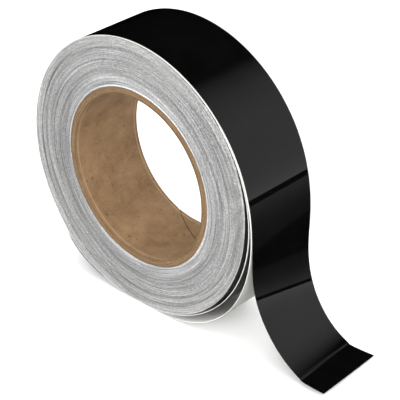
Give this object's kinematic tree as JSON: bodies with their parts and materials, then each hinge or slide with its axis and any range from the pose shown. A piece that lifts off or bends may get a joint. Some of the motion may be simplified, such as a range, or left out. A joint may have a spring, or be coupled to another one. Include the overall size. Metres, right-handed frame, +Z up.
{
  "type": "roll of sign vinyl",
  "caption": "Roll of adhesive-backed gloss sign vinyl on a paper core, standing on its tread, with a peeled film tail that flexes and a bared liner end.",
  "frame": {"origin": "middle of the core's bore, on the roll's axis", "axes": "+Y along the roll's axis away from the side seen in front; +X toward the free end of the strip; +Z up from the floor that the roll stands on"},
  "size_m": [0.1674, 0.0384, 0.1288],
  "materials": {
    "kraft_paper": "matt kraft paper",
    "starter_paper": "matt paper tape",
    "wound_web_edge": "slit edges of black film and white liner, seen as fine grey rings",
    "release_liner": "smooth white release paper",
    "adhesive": "clear tacky acrylic adhesive",
    "vinyl_film": "high gloss black vinyl"
  },
  "bodies": {
    "roll": {"core_bore_ply": "kraft_paper", "core_body_ply_1": "kraft_paper", "core_body_ply_2": "kraft_paper", "core_body_ply_3": "kraft_paper", "core_body_ply_4": "kraft_paper", "core_body_ply_5": "kraft_paper", "core_outer_ply": "kraft_paper", "starter_tape": "starter_paper", "wound_turns_1": "wound_web_edge", "wound_turns_2": "wound_web_edge", "wound_turns_3": "wound_web_edge", "wound_turns_4": "wound_web_edge", "wound_turns_5": "wound_web_edge", "wound_turns_6": "wound_web_edge", "outer_turn_liner": "release_liner", "outer_turn_adhesive": "adhesive", "outer_turn_film": "vinyl_film", "released_liner_1": "release_liner"},
    "film_piece_1": {"film_tail_1": "vinyl_film", "tail_adhesive_1": "adhesive"},
    "film_piece_2": {"film_tail_2": "vinyl_film", "tail_adhesive_2": "adhesive"},
    "film_piece_3": {"film_tail_3": "vinyl_film", "tail_adhesive_3": "adhesive"},
    "film_piece_4": {"film_tail_4": "vinyl_film", "tail_adhesive_4": "adhesive"},
    "film_piece_5": {"film_tail_5": "vinyl_film", "tail_adhesive_5": "adhesive"},
    "film_piece_6": {"film_tail_6": "vinyl_film", "tail_adhesive_6": "adhesive"},
    "film_piece_7": {"film_tail_7": "vinyl_film", "tail_adhesive_7": "adhesive"},
    "liner_piece_1": {"released_liner_2": "release_liner"},
    "liner_piece_2": {"released_liner_3": "release_liner"},
    "liner_piece_3": {"released_liner_4": "release_liner"}
  },
  "joints": [
    {"name": "film_bend_1", "type": "hinge", "parent": "roll", "child": "film_piece_1", "pos_m": [0.06342, 0, 0.01584], "axis": [0, -1, 0], "range_deg": [0, 12], "stiffness_Nm_per_rad": 0.02},
    {"name": "film_bend_2", "type": "hinge", "parent": "film_piece_1", "child": "film_piece_2", "pos_m": [0.06613, 0, -0.00697], "axis": [0, -1, 0], "range_deg": [0, 12]},
    {"name": "film_bend_3", "type": "hinge", "parent": "film_piece_2", "child": "film_piece_3", "pos_m": [0.06578, 0, -0.01997], "axis": [0, -1, 0], "range_deg": [0, 12]},
    {"name": "film_bend_4", "type": "hinge", "parent": "film_piece_3", "child": "film_piece_4", "pos_m": [0.06744, 0, -0.03377], "axis": [0, -1, 0], "range_deg": [0, 12]},
    {"name": "film_bend_5", "type": "hinge", "parent": "film_piece_4", "child": "film_piece_5", "pos_m": [0.07298, 0, -0.04651], "axis": [0, -1, 0], "range_deg": [0, 12]},
    {"name": "film_bend_6", "type": "hinge", "parent": "film_piece_5", "child": "film_piece_6", "pos_m": [0.08194, 0, -0.05713], "axis": [0, -1, 0], "range_deg": [0, 12]},
    {"name": "film_bend_7", "type": "hinge", "parent": "film_piece_6", "child": "film_piece_7", "pos_m": [0.0916, 0, -0.06221], "axis": [0, -1, 0], "range_deg": [0, 12]},
    {"name": "liner_bend_1", "type": "hinge", "parent": "roll", "child": "liner_piece_1", "pos_m": [0.05712, 0, -0.03852], "axis": [0, -1, 0], "range_deg": [0, 10], "stiffness_Nm_per_rad": 0.02},
    {"name": "liner_bend_2", "type": "hinge", "parent": "liner_piece_1", "child": "liner_piece_2", "pos_m": [0.04831, 0, -0.05079], "axis": [0, -1, 0], "range_deg": [0, 10]},
    {"name": "liner_bend_3", "type": "hinge", "parent": "liner_piece_2", "child": "liner_piece_3", "pos_m": [0.03608, 0, -0.05968], "axis": [0, -1, 0], "range_deg": [0, 10]}
  ],
  "couplings": [
    {"joint": "film_bend_2", "follows": "film_bend_1", "ratio": 1},
    {"joint": "film_bend_3", "follows": "film_bend_1", "ratio": 1},
    {"joint": "film_bend_4", "follows": "film_bend_1", "ratio": 1},
    {"joint": "film_bend_5", "follows": "film_bend_1", "ratio": 1},
    {"joint": "film_bend_6", "follows": "film_bend_1", "ratio": 1},
    {"joint": "film_bend_7", "follows": "film_bend_1", "ratio": 1},
    {"joint": "liner_bend_2", "follows": "liner_bend_1", "ratio": 1},
    {"joint": "liner_bend_3", "follows": "liner_bend_1", "ratio": 1}
  ]
}
